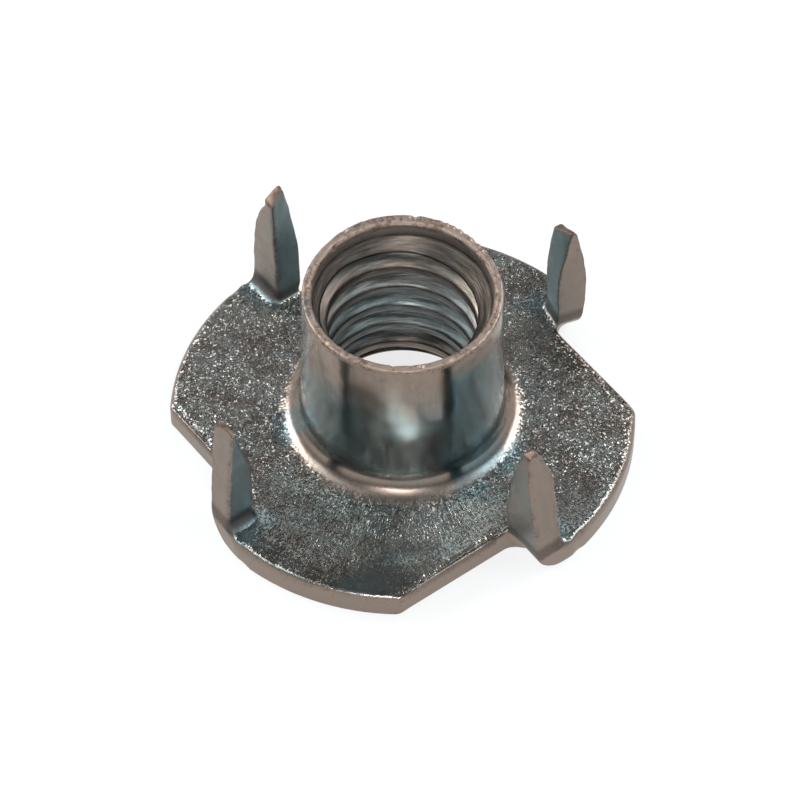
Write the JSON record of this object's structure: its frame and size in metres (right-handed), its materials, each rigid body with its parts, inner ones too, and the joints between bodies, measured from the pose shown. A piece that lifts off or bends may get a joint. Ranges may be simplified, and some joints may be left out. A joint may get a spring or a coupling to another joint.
{
  "type": "tee nut",
  "caption": "Pronged tee nut pressed from sheet steel: a threaded barrel drawn up from a flat pinwheel flange, with prongs bent up at its edge to bite into wood.",
  "frame": {"origin": "on the thread's axis, in the plane of the flange's outer (under) face", "axes": "+Z along the thread's axis, from the flange towards the barrel's rim; +X through one corner of the pinwheel flange"},
  "size_m": [0.0254, 0.0254, 0.0114],
  "materials": {
    "zinc_plated_steel": "satin"
  },
  "bodies": {
    "root": {"tee_nut": "zinc_plated_steel"}
  },
  "joints": []
}
